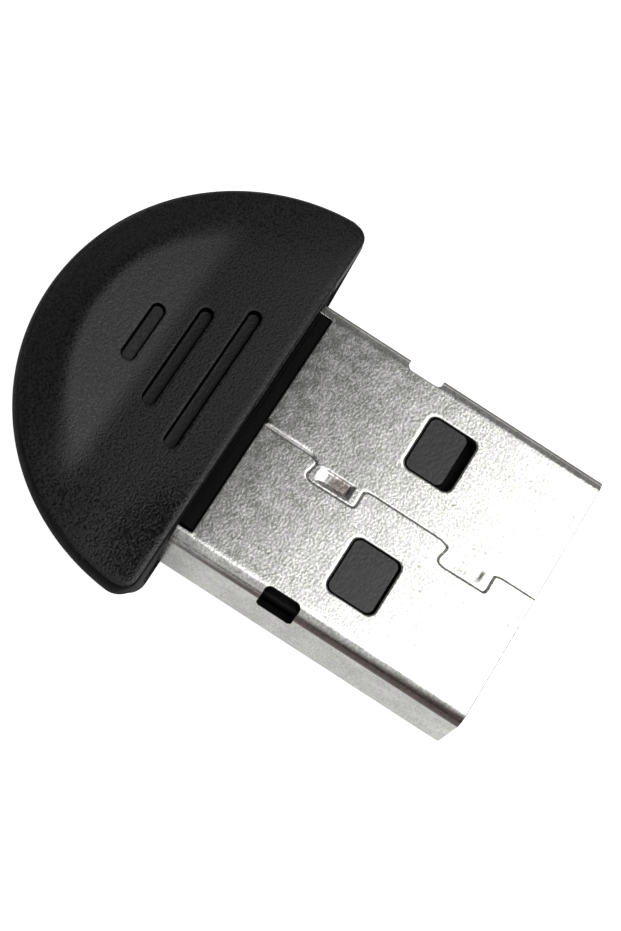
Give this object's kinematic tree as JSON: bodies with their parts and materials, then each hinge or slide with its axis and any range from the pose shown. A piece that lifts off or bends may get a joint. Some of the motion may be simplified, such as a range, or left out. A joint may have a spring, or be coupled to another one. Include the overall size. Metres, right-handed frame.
{
  "type": "short-range wireless usb adapter",
  "caption": "Tiny half-round black cap on a standard type A plug, with a radio board inside.",
  "frame": {"origin": "centre of the part's footprint, on the level of the cap's flat underside", "axes": "-Y out of the plug's mouth, +Y towards the cap's round end, +Z out of the seamed face of the plug"},
  "size_m": [0.0186, 0.023, 0.0074],
  "materials": {
    "cap_black": "fine spark-eroded texture",
    "shell_steel": "nickel plated, lightly grained",
    "carrier_black": "satin moulded",
    "board_green": "solder mask",
    "contact_gold": "gold plated",
    "chip_black": "moulded",
    "can_silver": "satin",
    "ceramic_tan": "fired ceramic",
    "ceramic_white": "fired ceramic",
    "solder_tin": "bright"
  },
  "bodies": {
    "root": {"cap": "cap_black", "plug_shell": "shell_steel", "board_carrier": "carrier_black", "circuit_board": "board_green", "power_contact": "contact_gold", "data_minus_contact": "contact_gold", "data_plus_contact": "contact_gold", "ground_contact": "contact_gold", "radio_chip": "chip_black", "memory_chip": "chip_black", "voltage_regulator": "chip_black", "crystal": "can_silver", "antenna_filter": "ceramic_white", "antenna_trace": "contact_gold", "input_capacitor": "ceramic_tan", "output_capacitor": "ceramic_tan", "core_capacitor": "ceramic_tan", "radio_capacitor": "ceramic_tan", "load_capacitor_left": "ceramic_tan", "load_capacitor_right": "ceramic_tan", "data_minus_resistor": "chip_black", "data_plus_resistor": "chip_black", "reset_resistor": "chip_black", "supply_inductor": "ceramic_tan", "left_solder_joint": "solder_tin", "right_solder_joint": "solder_tin"}
  },
  "joints": []
}
